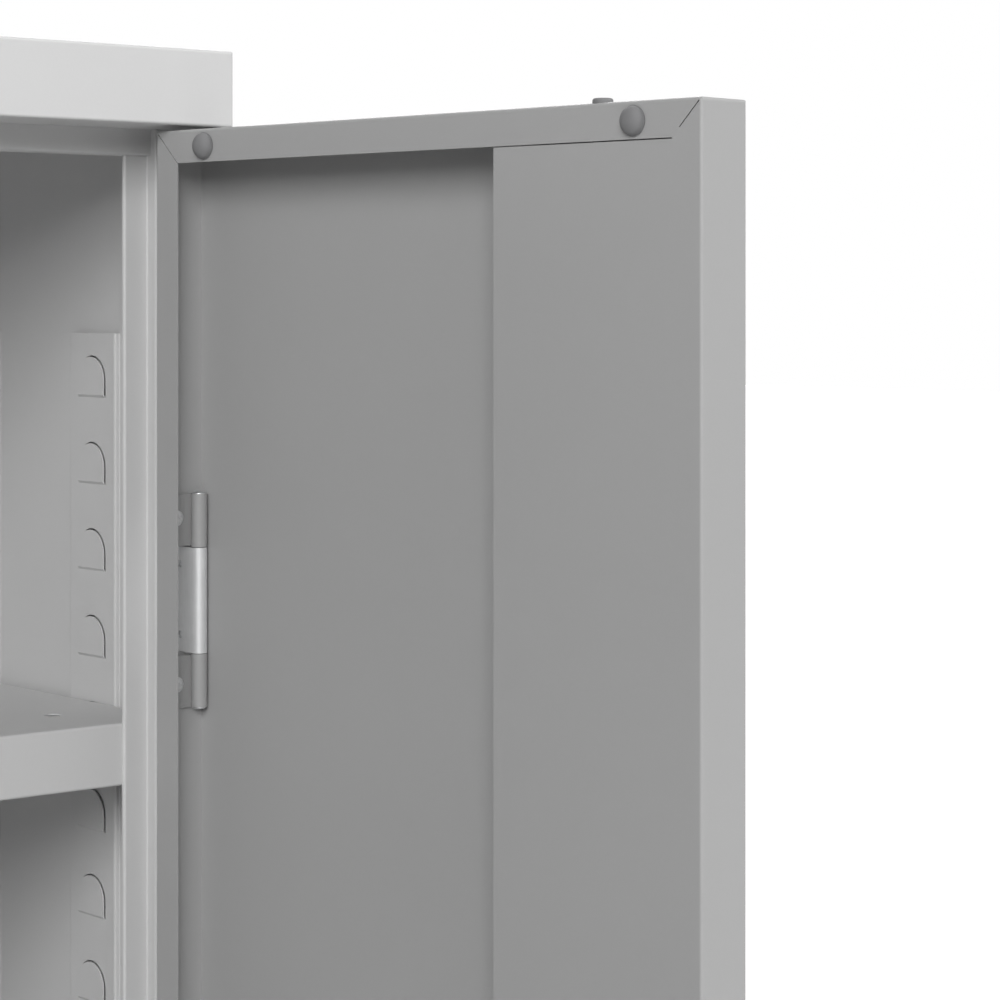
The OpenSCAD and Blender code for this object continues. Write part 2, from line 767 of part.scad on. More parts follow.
// Involute pinion drawn in the plane of the door
function involute(rb, t) = [rb * (cos(t) + t * PI / 180 * sin(t)), rb * (sin(t) - t * PI / 180 * cos(t))];
module pinion_outline() {
    pressure = 20;
    rb = pinion_r * cos(pressure);
    ra = pinion_r + tooth_module;
    rf = pinion_r - 1.25 * tooth_module;
    tip = acos(rb / ra);
    tip_roll = tan(tip) * 180 / PI;
    half = 90 / pinion_teeth - backlash / 4 / pinion_r * 180 / PI + tan(pressure) * 180 / PI - pressure;
    flank = [for (k = [0 : 5]) rotated(involute(rb, tip_roll * k / 5), -half)];
    union() {
        circle(rf + 0.05);
        for (i = [0 : pinion_teeth - 1]) {
            rotate(360 / pinion_teeth * (i + 0.5)) polygon(concat(
                [[rf * cos(half), -rf * sin(half)]],
                flank,
                [for (k = [5 : -1 : 0]) [flank[k].x, -flank[k].y]],
                [[rf * cos(half), rf * sin(half)]]
            ));
        }
    }
}

module lock_pinion() {
    color(zinc) at_spindle() difference() {
        union() {
            translate([0, rod_v + rack_t / 2, 0]) rotate([90, 0, 0]) linear_extrude(rack_t) pinion_outline();
            translate([0, rod_v - rack_t / 2, 0]) rotate([90, 0, 0])
                cylinder(h = rod_v - rack_t / 2 - flange_v - sheet_t - 0.3, d = pinion_stub_d);
            translate([0, rod_v + rack_t / 2, 0]) rotate([-90, 0, 0])
                cylinder(h = case_back_v + case_t + 1 - rod_v - rack_t / 2, d = pinion_hub_d);
        }
        socket = spindle_w + 0.1;
        translate([-socket / 2, rod_v - rack_t / 2 + 1, -socket / 2]) cube([socket, 20, socket]);
    }
}

// Rack with its teeth towards the spindle, and the link that carries it to the rod's axis
module rack() {
    pitch = PI * tooth_module;
    root = pinion_r + 1.25 * tooth_module;
    tip = pinion_r - tooth_module;
    teeth_down = 5;
    teeth_up = 1;
    slope = tan(20);
    half_pitch = pitch / 4 - backlash / 4;
    low = -(teeth_down + 0.5) * pitch;
    translate([0, rod_v + rack_t / 2, 0]) rotate([90, 0, 0]) linear_extrude(rack_t) {
        translate([root, low]) square([rack_body_w, rack_top - low]);
        for (k = [-teeth_down : teeth_up]) {
            translate([0, k * pitch]) polygon([
                [tip, -half_pitch + tooth_module * slope],
                [root + 0.1, -half_pitch - (root - pinion_r) * slope],
                [root + 0.1, half_pitch + (root - pinion_r) * slope],
                [tip, half_pitch - tooth_module * slope]
            ]);
        }
        translate([-rod_d / 2, rack_top - rod_link_h]) square([root + rack_body_w + rod_d / 2, rod_link_h]);
    }
}

// Rod drawn for the way up, from the lock to its tip
module rod(length) {
    rack();
    translate([0, rod_v, rack_top]) cylinder(h = length - rack_top, d = rod_d);
}

module rod_tip(length) {
    crown = 2;
    difference() {
        translate([0, rod_v, length - rod_tip_l]) {
            cylinder(h = rod_tip_l - crown, d = rod_tip_d);
            translate([0, 0, rod_tip_l - crown]) cylinder(h = crown, d1 = rod_tip_d, d2 = rod_tip_d - 2 * crown);
        }
        translate([0, rod_v, length - rod_tip_l - cut])
            cylinder(h = rod_tip_l + cut - rod_cap_t, d = rod_d + 0.1);
    }
}

module downwards() {
    at_spindle() rotate([0, 180, 0]) children();
}

module upper_rod() {
    color(zinc) at_spindle() rod(upper_reach - rod_cap_t - 0.1);
}

module upper_rod_tip() {
    color(plastic_grey) at_spindle() rod_tip(upper_reach);
}

module lower_rod() {
    color(zinc) downwards() rod(lower_reach - rod_cap_t - 0.1);
}

module lower_rod_tip() {
    color(plastic_grey) downwards() rod_tip(lower_reach);
}

// Saddle clips that hold the rods against the stiffener
module rod_guide_clips() {
    clip_h = 20;
    inner = rod_d / 2 + rod_hole_clearance;
    wall = rod_depth - sheet_t - inner - 0.1;
    ear = rod_d / 2 + 14;
    seat_v = flange_v + sheet_t;
    color(zinc) for (z = clip_zs) {
        translate([rod_u, 0, z - clip_h / 2]) difference() {
            union() {
                translate([0, rod_v, 0]) cylinder(h = clip_h, r = inner + wall);
                box([-inner - wall, seat_v, 0], [inner + wall, rod_v, clip_h]);
                box([-ear, seat_v, 0], [ear, seat_v + wall, clip_h]);
            }
            translate([0, rod_v, -cut]) cylinder(h = clip_h + 2 * cut, r = inner);
        }
    }
}

// Bushes that guide the rod tips through the door's end walls
module rod_guide_bushes() {
    bush_r = min(bush_d / 2, rod_depth - sheet_t);
    color(plastic_grey) for (z = [door_top - sheet_t - bush_h, door_bottom + sheet_t]) {
        translate([rod_u, rod_v, z]) difference() {
            intersection() {
                cylinder(h = bush_h, d = bush_d);
                box([-bush_d, -bush_r, -cut], [bush_d, bush_d, bush_h + cut]);
            }
            translate([0, 0, -cut]) cylinder(h = bush_h + 2 * cut, r = rod_tip_d / 2 + rod_hole_clearance);
        }
    }
}

module handle_backplate() {
    r = backplate_w / 2;
    color(plastic_grey) at_spindle() translate([0, plate_seat_v, 0]) rotate([-90, 0, 0]) difference() {
        linear_extrude(backplate_t) polygon(round_rect([-r, -backplate_h / 2], [r, backplate_h / 2], 8));
        translate([0, 0, -cut]) cylinder(h = backplate_t + 2 * cut, d = hub_d - 6 + 0.1);
        for (side = [-1, 1]) {
            translate([0, side * plate_screw_z, -cut]) cylinder(h = backplate_t + 2 * cut, d = screw_d + 0.1);
        }
    }
}

module backplate_screws() {
    color(zinc) for (side = [-1, 1]) {
        at_spindle() translate([0, plate_seat_v, side * plate_screw_z]) rotate([-90, 0, 0]) {
            translate([0, 0, backplate_t]) cylinder(h = screw_head_h, d = screw_head_d);
            translate([0, 0, -sheet_t - 3]) cylinder(h = backplate_t + sheet_t + 3, d = screw_d);
        }
    }
}

// Lever that lies level at rest and points down when the doors are locked
module lever_handle() {
    seat = plate_seat_v + backplate_t + lever_gap;
    neck_d = hub_d - 6;
    socket = spindle_w + 0.1;
    tail_r = lever_w / 2 - 3;
    color(plastic_grey) at_spindle() difference() {
        union() {
            translate([0, seat, 0]) rotate([-90, 0, 0]) cylinder(h = hub_h, d = hub_d);
            translate([0, plate_seat_v, 0]) rotate([-90, 0, 0]) cylinder(h = backplate_t + lever_gap + 1, d = neck_d);
            translate([0, seat + hub_h, 0]) rotate([90, 0, 0]) linear_extrude(lever_t) {
                polygon([
                    [0, -lever_w / 2],
                    [0, lever_w / 2],
                    [-lever_l + tail_r, tail_r],
                    [-lever_l + tail_r, -tail_r]
                ]);
                translate([-lever_l + tail_r, 0]) circle(tail_r);
            }
        }
        translate([0, seat + hub_h - cylinder_depth, 0]) rotate([-90, 0, 0])
            cylinder(h = cylinder_depth + cut, r = cylinder_d / 2 + rod_hole_clearance);
        translate([-socket / 2, plate_seat_v - cut, -socket / 2]) cube([socket, spindle_grip + cut, socket]);
    }
}

module handle_spindle() {
    spindle_start = rod_v - rack_t / 2 + 1;
    color(zinc) at_spindle()
        box([-spindle_w / 2, spindle_start, -spindle_w / 2],
            [spindle_w / 2, plate_seat_v + spindle_grip, spindle_w / 2]);
}

module key_cylinder() {
    top = plate_seat_v + backplate_t + lever_gap + hub_h;
    key_slot_w = 1.4;
    key_slot_h = 8;
    color(zinc) at_spindle() difference() {
        translate([0, top - cylinder_depth, 0]) rotate([-90, 0, 0])
            cylinder(h = cylinder_depth + 0.5, d = cylinder_d);
        translate([-key_slot_w / 2, top - cylinder_depth + 2, -key_slot_h / 2])
            cube([key_slot_w, cylinder_depth, key_slot_h]);
    }
}

top_cap();
base();
back_panel();
floor_panel();
top_rail();
side_panel();  // right_side_panel
mirrored_x() side_panel();  // left_side_panel
jamb();  // right_jamb
mirrored_x() jamb();  // left_jamb
upright(front_upright_y);  // right_front_upright
upright(rear_upright_y);  // right_rear_upright
mirrored_x() upright(front_upright_y);  // left_front_upright
mirrored_x() upright(rear_upright_y);  // left_rear_upright
shelf(0);  // shelf_1
shelf(1);  // shelf_2
shelf(2);  // shelf_3
shelf(3);  // shelf_4
shelf_ribs();
frame_leaf(hinge_zs[0]);  // right_frame_leaf_top
frame_leaf(hinge_zs[1]);  // right_frame_leaf_middle
frame_leaf(hinge_zs[2]);  // right_frame_leaf_bottom
mirrored_x() frame_leaf(hinge_zs[0]);  // left_frame_leaf_top
mirrored_x() frame_leaf(hinge_zs[1]);  // left_frame_leaf_middle
mirrored_x() frame_leaf(hinge_zs[2]);  // left_frame_leaf_bottom
on_right_door() right_door_panel();
on_right_door() door_leaves(hinge_zs[0]);  // right_door_leaves_top
on_right_door() door_leaves(hinge_zs[1]);  // right_door_leaves_middle
on_right_door() door_leaves(hinge_zs[2]);  // right_door_leaves_bottom
on_right_door() hinge_pins();  // right_hinge_pins
on_right_door() bumpers();  // right_door_bumpers
on_left_door() left_door_panel();
on_left_door() door_leaves(hinge_zs[0]);  // left_door_leaves_top
on_left_door() door_leaves(hinge_zs[1]);  // left_door_leaves_middle
on_left_door() door_leaves(hinge_zs[2]);  // left_door_leaves_bottom
on_left_door() hinge_pins();  // left_hinge_pins
on_left_door() bumpers();  // left_door_bumpers
on_left_door() left_cover_strip();
on_right_door() lock_case();
on_right_door() lock_case_screws();
on_right_door() handle_backplate();
on_right_door() backplate_screws();
on_right_door() rod_guide_clips();
on_right_door() rod_guide_bushes();
on_right_door() lever_handle();
on_right_door() handle_spindle();
on_right_door() lock_pinion();
on_right_door() key_cylinder();
on_right_door() upper_rod();
on_right_door() upper_rod_tip();
on_right_door() lower_rod();
on_right_door() lower_rod_tip();
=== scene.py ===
"""Looks of a two-door steel locker cabinet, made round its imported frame."""

import json
import math

import bmesh
import bpy
import numpy as np
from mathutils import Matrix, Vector


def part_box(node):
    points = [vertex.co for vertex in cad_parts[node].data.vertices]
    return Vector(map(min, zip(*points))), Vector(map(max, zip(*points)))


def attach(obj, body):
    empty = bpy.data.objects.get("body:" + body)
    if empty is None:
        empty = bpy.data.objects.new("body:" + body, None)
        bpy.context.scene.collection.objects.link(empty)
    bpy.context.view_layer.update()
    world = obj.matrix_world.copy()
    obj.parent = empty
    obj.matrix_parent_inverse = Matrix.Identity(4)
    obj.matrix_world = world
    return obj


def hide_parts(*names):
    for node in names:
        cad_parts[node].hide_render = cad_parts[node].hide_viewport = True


bl_info = {
    "name": "Locker Cabinet Looks",
    "version": (1, 0, 0),
    "blender": (4, 5, 0),
    "location": "View3D > Sidebar > Locker",
    "description": "Finishes, small formed pieces and studio of a steel locker cabinet",
    "category": "Object",
}

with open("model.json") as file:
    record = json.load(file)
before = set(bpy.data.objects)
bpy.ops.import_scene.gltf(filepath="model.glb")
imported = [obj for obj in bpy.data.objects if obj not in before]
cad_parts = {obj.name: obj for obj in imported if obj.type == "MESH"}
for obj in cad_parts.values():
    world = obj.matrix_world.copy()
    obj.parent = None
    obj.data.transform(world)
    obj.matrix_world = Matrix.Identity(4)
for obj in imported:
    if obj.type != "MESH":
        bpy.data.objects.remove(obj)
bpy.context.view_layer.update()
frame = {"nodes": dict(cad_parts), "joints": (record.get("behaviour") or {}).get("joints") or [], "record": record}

MM = 0.001
JOINTS = {joint["name"]: joint for joint in frame["joints"]}
RIGHT_SWING = JOINTS["right_door_swing"]
HINGE_AXIS = RIGHT_SWING["pos_m"]
DOOR_TURN = math.radians(180.0 - RIGHT_SWING["range_deg"][0])
SLOT_OF = {row["node"]: row["material_slot"] for row in frame["record"]["subparts"]}
DOOR_LOW, DOOR_HIGH = (corner.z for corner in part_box("right_door_panel"))
HINGE_HEIGHTS = [
    sum(corner.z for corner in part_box(f"right_frame_leaf_{place}")) / 2
    for place in ("top", "middle", "bottom")
]


# --- Settings a user may change -------------------------------------------


class LockerFinish(bpy.types.PropertyGroup):
    """Colours and surface of the paint, metal and plastic"""

    carcass_colour: bpy.props.FloatVectorProperty(
        name="Carcass paint",
        description="Colour of the powder coat on cap, frame, walls and shelves",
        subtype="COLOR", size=3, min=0, max=1, default=(0.62, 0.62, 0.62),
    )
    door_colour: bpy.props.FloatVectorProperty(
        name="Door paint",
        description="Colour of the powder coat on the doors",
        subtype="COLOR", size=3, min=0, max=1, default=(0.395, 0.395, 0.395),
    )
    # Painted shade: the outer knuckles carry the door paint, and this darker copy of it stands for the shade they
    # are in
    hinge_shaded_colour: bpy.props.FloatVectorProperty(
        name="Hinge paint",
        description="Colour of the paint on the outer knuckles and their plates",
        subtype="COLOR", size=3, min=0, max=1, default=(0.345, 0.345, 0.345),
    )
    zinc_colour: bpy.props.FloatVectorProperty(
        name="Zinc",
        description="Colour of the plated hinge leaves, pins, rods and screws",
        subtype="COLOR", size=3, min=0, max=1, default=(0.65, 0.655, 0.66),
    )
    plastic_colour: bpy.props.FloatVectorProperty(
        name="Grey plastic",
        description="Colour of bumpers, rod tips and bushes",
        subtype="COLOR", size=3, min=0, max=1, default=(0.165, 0.165, 0.168),
    )
    handle_colour: bpy.props.FloatVectorProperty(
        name="Handle plastic",
        description="Colour of the lever handle and its backplate",
        subtype="COLOR", size=3, min=0, max=1, default=(0.05, 0.05, 0.053),
    )
    peel_width: bpy.props.FloatProperty(
        name="Orange peel width",
        description="Width of one dimple in the powder coat",
        unit="LENGTH", min=0.0005, max=0.01, default=0.0016,
    )


class LockerPieces(bpy.types.PropertyGroup):
    """Sizes of the small formed pieces, in the doors' own directions"""

    flange_face: bpy.props.FloatProperty(
        name="Flange face",
        description="Depth of the door's return flange behind the hinge axis",
        unit="LENGTH", default=26.2 * MM,
    )
    door_face: bpy.props.FloatProperty(
        name="Door face",
        description="Height of the door's outer face above the hinge axis",
        unit="LENGTH", default=6.3 * MM,
    )
    bumper_diameter: bpy.props.FloatProperty(
        name="Bumper diameter",
        description="Diameter of a door bumper",
        unit="LENGTH", default=14.6 * MM,
    )
    bumper_height: bpy.props.FloatProperty(
        name="Bumper height",
        description="Height of a door bumper above the flange",
        unit="LENGTH", default=6.0 * MM,
    )
    bumper_near: bpy.props.FloatProperty(
        name="Bumper by the hinge",
        description="Distance of the inner bumpers from the hinge axis",
        unit="LENGTH", default=35.7 * MM,
    )
    bumper_far: bpy.props.FloatProperty(
        name="Bumper by the free edge",
        description="Distance of the outer bumpers from the hinge axis",
        unit="LENGTH", default=343.7 * MM,
    )
    bumper_end: bpy.props.FloatProperty(
        name="Bumper from the door's end",
        description="Distance of a bumper's middle from the door's end",
        unit="LENGTH", default=9.4 * MM,
    )
    spindle_run: bpy.props.FloatProperty(
        name="Spindle place",
        description="Distance of the handle's spindle from the hinge axis",
        unit="LENGTH", default=318.7 * MM,
    )
    spindle_height: bpy.props.FloatProperty(
        name="Spindle height",
        description="Height of the handle's spindle above the floor",
        unit="LENGTH", default=950.0 * MM,
    )
    rod_behind: bpy.props.FloatProperty(
        name="Rod depth",
        description="Depth of the locking rods behind the hinge axis",
        unit="LENGTH", default=20.0 * MM,
    )
    nugget_radius: bpy.props.FloatProperty(
        name="Weld nugget radius",
        description="Radius of the weld on a hinge plate",
        unit="LENGTH", default=4.4 * MM,
    )


class LockerStage(bpy.types.PropertyGroup):
    """Camera, lamps and floor"""

    camera_place: bpy.props.FloatVectorProperty(
        name="Camera place", description="Where the camera stands",
        subtype="XYZ", unit="LENGTH", size=3, default=(-0.50533, -1.49666, 1.66153),
    )
    camera_heading: bpy.props.FloatProperty(
        name="Camera heading", description="Turn of the level camera from the cabinet's depth",
        subtype="ANGLE", unit="ROTATION", default=math.radians(40.043),
    )
    camera_lens: bpy.props.FloatProperty(
        name="Lens", description="Focal length in millimetres on a 36 mm sensor",
        min=20, max=300, default=102.859,
    )
    camera_drop: bpy.props.FloatProperty(
        name="View drop", description="Downward shift of the level camera's view",
        min=-0.5, max=0.5, default=-0.1984,
    )
    left_power: bpy.props.FloatProperty(
        name="Left lamp", description="Power of the large soft lamp high at the front left",
        unit="POWER", min=0, default=140,
    )
    right_power: bpy.props.FloatProperty(
        name="Right lamp", description="Power of the large soft lamp high at the front right",
        unit="POWER", min=0, default=90,
    )
    back_power: bpy.props.FloatProperty(
        name="Back lamp", description="Power of the soft lamp behind the cabinet",
        unit="POWER", min=0, default=70,
    )
    ambient: bpy.props.FloatProperty(
        name="Room light", description="Strength of the even light from all round",
        min=0, max=2, default=0.14,
    )
    floor_lift: bpy.props.FloatProperty(
        name="Floor lift", description="Added white of the floor as the camera sees it",
        min=0, max=1, default=0.5,
    )
    floor_colour: bpy.props.FloatVectorProperty(
        name="Floor", description="Colour of the plain floor",
        subtype="COLOR", size=3, min=0, max=1, default=(0.80, 0.80, 0.80),
    )


# --- Shader maths ------------------------------------------------------------


class Wire:
    """A value on its way through the nodes; Python's operators add Math nodes."""

    def __init__(self, finish, socket):
        self.finish = finish
        self.socket = socket

    def _math(self, operation, other):
        return self.finish.add("ShaderNodeMath", {"operation": operation}, {0: self, 1: other})

    def __add__(self, other):
        return self._math("ADD", other)

    __radd__ = __add__

    def __mul__(self, other):
        return self._math("MULTIPLY", other)

    __rmul__ = __mul__


class Finish:
    """A node material under construction."""

    def __init__(self, name, tree=None):
        if tree is None:
            self.material = bpy.data.materials.new(name)
            self.material.use_nodes = True
            tree = self.material.node_tree
        self.tree = tree
        self.tree.nodes.clear()

    def add(self, kind, settings=None, inputs=None, output=0):
        """Adds a node, sets its settings and then its sockets, and returns one of its outputs."""
        node = self.tree.nodes.new(kind)
        if isinstance(output, str):
            output = node.outputs.keys().index(output)
        for key, value in (settings or {}).items():
            setattr(node, key, value)
        for key, value in (inputs or {}).items():
            if isinstance(value, Wire):
                self.tree.links.new(value.socket, node.inputs[key])
            else:
                node.inputs[key].default_value = value
        return Wire(self, node.outputs[output]) if len(node.outputs) else node

    def mix_colour(self, factor, first, second):
        """Colour between first and second."""
        return self.add(
            "ShaderNodeMix", {"data_type": "RGBA"},
            {0: factor, 6: rgba(first), 7: rgba(second)}, 2,
        )

    def place(self, stretch=(1.0, 1.0, 1.0)):
        """Object coordinates, stretched along the axes."""
        coords = self.add("ShaderNodeTexCoord", output="Object")
        return self.add("ShaderNodeMapping", None, {"Vector": coords, "Scale": stretch})

    def noise(self, where, width, detail=2.0, roughness=0.5):
        """Soft noise whose features are about width metres across."""
        return self.add(
            "ShaderNodeTexNoise", None,
            {"Vector": where, "Scale": 1.0 / width, "Detail": detail, "Roughness": roughness},
        )

    def bump(self, height, depth, strength=1.0):
        """Normal of a surface raised by height times depth metres."""
        return self.add(
            "ShaderNodeBump", None, {"Strength": strength, "Distance": depth, "Height": height}
        )

    def seen_by(self, first, *others):
        """One where a ray of one of the named kinds looks at the surface, else zero."""
        total = self.add("ShaderNodeLightPath", output=f"Is {first} Ray")
        for kind in others:
            total = total + self.add("ShaderNodeLightPath", output=f"Is {kind} Ray")
        return total

    def surface(self, sockets):
        """Ends the material in a Principled surface with these sockets."""
        shader = self.add("ShaderNodeBsdfPrincipled", None, sockets)
        self.add("ShaderNodeOutputMaterial", None, {"Surface": shader})
        return self.material


def rgba(colour):
    """A colour socket's value, or the link unchanged."""
    return colour if isinstance(colour, Wire) else (*colour, 1.0)


def shade(colour, share):
    """The colour made darker or lighter by a share."""
    return tuple(min(1.0, channel * share) for channel in colour)


def powder_coat(name, colour, peel_width):
    """Satin powder coat: faint clouding, fine speckle and a shallow orange peel."""
    paint = Finish(name)
    where = paint.place()
    clouding = paint.noise(where, 0.21, 3.0)
    speckle = paint.noise(where, 0.0011, 1.0)
    peel = paint.noise(where, peel_width, 2.0, 0.45)
    handled = paint.noise(where, 0.055, 4.0, 0.6)
    tone = paint.mix_colour(
        clouding * 0.7 + speckle * 0.3, shade(colour, 0.955), shade(colour, 1.045)
    )
    return paint.surface({
        "Base Color": tone,
        "Roughness": 0.40 + handled * 0.12,
        "Normal": paint.bump(peel * 0.8 + speckle * 0.2, 0.00006, 0.5),
    })


def zinc_plate(name, colour):
    """Bright zinc on cold-drawn steel: drawn lines up the piece and a cloudy passivation."""
    zinc = Finish(name)
    drawn = zinc.noise(zinc.place((1.0, 1.0, 0.06)), 0.0007, 2.0)
    cloud = zinc.noise(zinc.place(), 0.012, 3.0, 0.6)
    tone = zinc.mix_colour(cloud * 0.6 + drawn * 0.4, shade(colour, 0.80), shade(colour, 1.2))
    return zinc.surface({
        "Base Color": tone,
        "Metallic": 0.22 + cloud * 0.14,
        "Roughness": 0.36 + cloud * 0.16 + drawn * 0.08,
        "Normal": zinc.bump(drawn, 0.00003, 0.4),
    })


def moulded_plastic(name, colour, grain, roughness):
    """Moulded plastic with a fine spark-eroded grain, lighter and rougher in patches."""
    plastic = Finish(name)
    where = plastic.place()
    texture = plastic.noise(where, grain, 2.0, 0.6)
    wear = plastic.noise(where, 0.009, 3.0)
    tone = plastic.mix_colour(
        wear * 0.7 + texture * 0.3, shade(colour, 0.86), shade(colour, 1.16)
    )
    return plastic.surface({
        "Base Color": tone,
        "Roughness": roughness + wear * 0.14,
        "Normal": plastic.bump(texture, 0.00005, 0.5),
    })


def weld_metal(name, colour):
    """Bare weld: bright metal in small ripples."""
    weld = Finish(name)
    ripple = weld.noise(weld.place(), 0.0014, 2.0)
    tone = weld.mix_colour(ripple, shade(colour, 0.7), shade(colour, 1.5))
    return weld.surface({
        "Base Color": tone,
        "Metallic": 0.6 + ripple * 0.2,
        "Roughness": 0.25 + ripple * 0.2,
        "Normal": weld.bump(ripple, 0.0002, 0.6),
    })


# --- Surfaces ---------------------------------------------------------------


def door_directions(side):
    """The door's run, outward and up directions as unit vectors; side is 1 right, -1 left."""
    run = np.array([side * math.cos(DOOR_TURN), math.sin(DOOR_TURN), 0.0])
    out = np.array([-side * math.sin(DOOR_TURN), math.cos(DOOR_TURN), 0.0])
    return run, out, np.array([0.0, 0.0, 1.0])


def door_point(side, run, out, height):
    """A point from its run from the hinge axis, its distance outwards and its height."""
    along, outward, up = door_directions(side)
    axis = np.array([side * HINGE_AXIS[0], HINGE_AXIS[1], 0.0])
    return axis + run * along + out * outward + height * up


def frame_round(axis):
    """Two unit vectors square to axis and to each other."""
    axis = np.asarray(axis, float)
    helper = np.array([0.0, 0.0, 1.0]) if abs(axis[2]) < 0.9 else np.array([1.0, 0.0, 0.0])
    first = np.cross(axis, helper)
    first /= np.linalg.norm(first)
    return first, np.cross(axis, first)


def rounded_quarter(radius, steps=7):
    """Offsets along a quarter circle: (sine, one minus cosine) times radius."""
    turn = np.linspace(0.0, math.pi / 2, steps)
    return radius * np.sin(turn), radius * (1.0 - np.cos(turn))


def turned(radii, heights, origin, axis, around=40):
    """Closed turned solid: point = origin + axis * h(s) + r(s) * (cos t * e1 + sin t * e2).

    The profile runs from pole to pole, and its first and last radius are zero.
    """
    e1, e2 = frame_round(axis)
    t = np.linspace(0.0, 2 * math.pi, around, endpoint=False)
    ring = np.cos(t)[:, None] * e1 + np.sin(t)[:, None] * e2
    r, h = np.asarray(radii, float), np.asarray(heights, float)
    axis = np.asarray(axis, float)
    body = (r[1:-1, None, None] * ring[None] + h[1:-1, None, None] * axis).reshape(-1, 3)
    points = np.vstack([h[0] * axis, body, h[-1] * axis]) + origin
    rows = len(r) - 2
    i = np.arange(around)
    after = (i + 1) % around
    quads = [
        np.stack([1 + k * around + i, 1 + k * around + after,
                  1 + (k + 1) * around + after, 1 + (k + 1) * around + i], 1)
        for k in range(rows - 1)
    ]
    start = np.stack([np.zeros(around, int), 1 + after, 1 + i], 1)
    last_row = 1 + (rows - 1) * around
    pole = np.full(around, len(points) - 1)
    end = np.stack([pole, last_row + i, last_row + after], 1)
    return points, [*start.tolist(), *np.vstack(quads).tolist(), *end.tolist()]


def turned_ring(radii, heights, origin, axis, around=56):
    """Ring turned from a closed profile, with both s and t going round.

    point = origin + axis * h(s) + r(s) * (cos t * e1 + sin t * e2)
    """
    e1, e2 = frame_round(axis)
    t = np.linspace(0.0, 2 * math.pi, around, endpoint=False)
    ring = np.cos(t)[:, None] * e1 + np.sin(t)[:, None] * e2
    r, h = np.asarray(radii, float), np.asarray(heights, float)
    points = r[:, None, None] * ring[None] + h[:, None, None] * np.asarray(axis)
    return points.reshape(-1, 3) + origin, wrapped_quads(len(r), around, True)


def wrapped_quads(rows, around, closed):
    """Quads of a grid whose columns go round, and whose rows do too when closed."""
    k = np.arange(rows if closed else rows - 1)[:, None]
    i = np.arange(around)[None]
    after_k, after_i = (k + 1) % rows, (i + 1) % around
    grid = np.stack([k * around + i, k * around + after_i,
                     after_k * around + after_i, after_k * around + i], -1)
    return grid.reshape(-1, 4).tolist()


def lofted_bar(centres, half_widths, half_depths, wide, deep, around=32, squareness=3.2):
    """Closed bar: point = centre(s) + w(s) * C(t) * wide + d(s) * S(t) * deep.

    C and S are the cosine and sine drawn out to a rounded square. A point closes each end.
    """
    t = np.linspace(0.0, 2 * math.pi, around, endpoint=False)
    c = np.sign(np.cos(t)) * np.abs(np.cos(t)) ** (2 / squareness)
    s = np.sign(np.sin(t)) * np.abs(np.sin(t)) ** (2 / squareness)
    rows = len(centres)
    body = (
        centres[:, None, :]
        + half_widths[:, None, None] * c[None, :, None] * wide
        + half_depths[:, None, None] * s[None, :, None] * deep
    ).reshape(-1, 3)
    points = np.vstack([body, centres[0], centres[-1]])
    i = np.arange(around)
    after = (i + 1) % around
    low = np.stack([np.full(around, rows * around), after, i], 1)
    top = (rows - 1) * around
    high = np.stack([np.full(around, rows * around + 1), top + i, top + after], 1)
    return points, [*wrapped_quads(rows, around, False), *low.tolist(), *high.tolist()]


def join(parts):
    """Several point and face lists as one."""
    points, faces, start = [], [], 0
    for part_points, part_faces in parts:
        points.append(part_points)
        faces += [[index + start for index in face] for face in part_faces]
        start += len(part_points)
    return np.vstack(points), faces


def make_piece(name, shape, material, body, replaces=()):
    """Puts a shape into the scene, smooth and with its faces outwards, riding on a body."""
    points, faces = shape
    mesh = bpy.data.meshes.new(name)
    mesh.from_pydata(points.tolist(), [], faces)
    work = bmesh.new()
    work.from_mesh(mesh)
    bmesh.ops.remove_doubles(work, verts=work.verts, dist=1e-7)
    bmesh.ops.recalc_face_normals(work, faces=work.faces)
    work.to_mesh(mesh)
    work.free()
    mesh.shade_smooth()
    mesh.materials.append(material)
    piece = bpy.data.objects.new(name, mesh)
    bpy.context.scene.collection.objects.link(piece)
    sharpen = piece.modifiers.new("crisp_edges", "EDGE_SPLIT")
    sharpen.split_angle = math.radians(40)
    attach(piece, body)
    if replaces:
        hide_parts(*replaces)
    return piece


def paint_nodes(slot, material, part=""):
    """Gives a finish to every CAD node of a material slot whose name holds part."""
    for name, node in frame["nodes"].items():
        if SLOT_OF[name] == slot and part in name:
            node.data.materials.clear()
            node.data.materials.append(material)


def material_named(name):
    """A finish that an earlier step has made."""
    found = bpy.data.materials.get(name)
    if found is None:
        raise RuntimeError(f"{name} isn't made yet: apply the finishes first")
    return found


# --- Steps -------------------------------------------------------------------


class LOCKER_OT_paint(bpy.types.Operator):
    """Powder coat on the carcass and the doors"""

    bl_idname = "locker.paint"
    bl_label = "Paint Carcass and Doors"

    def execute(self, context):
        look = context.scene.locker_finish
        for name, slot, colour, part in (
            ("carcass_paint", "carcass_paint", look.carcass_colour, ""),
            ("door_paint", "door_paint", look.door_colour, ""),
            # Painted shade: a darker copy of the door paint on the outer knuckles and their plates
            ("hinge_paint", "door_paint", look.hinge_shaded_colour, "door_leaves"),
        ):
            paint_nodes(slot, powder_coat(name, colour, look.peel_width), part)
        return {"FINISHED"}


class LOCKER_OT_plate(bpy.types.Operator):
    """Zinc on hinge leaves, pins, lock parts, rods and screws"""

    bl_idname = "locker.plate"
    bl_label = "Plate Metal Parts"

    def execute(self, context):
        paint_nodes("zinc", zinc_plate("zinc", context.scene.locker_finish.zinc_colour))
        weld_metal("weld", context.scene.locker_finish.zinc_colour)
        return {"FINISHED"}


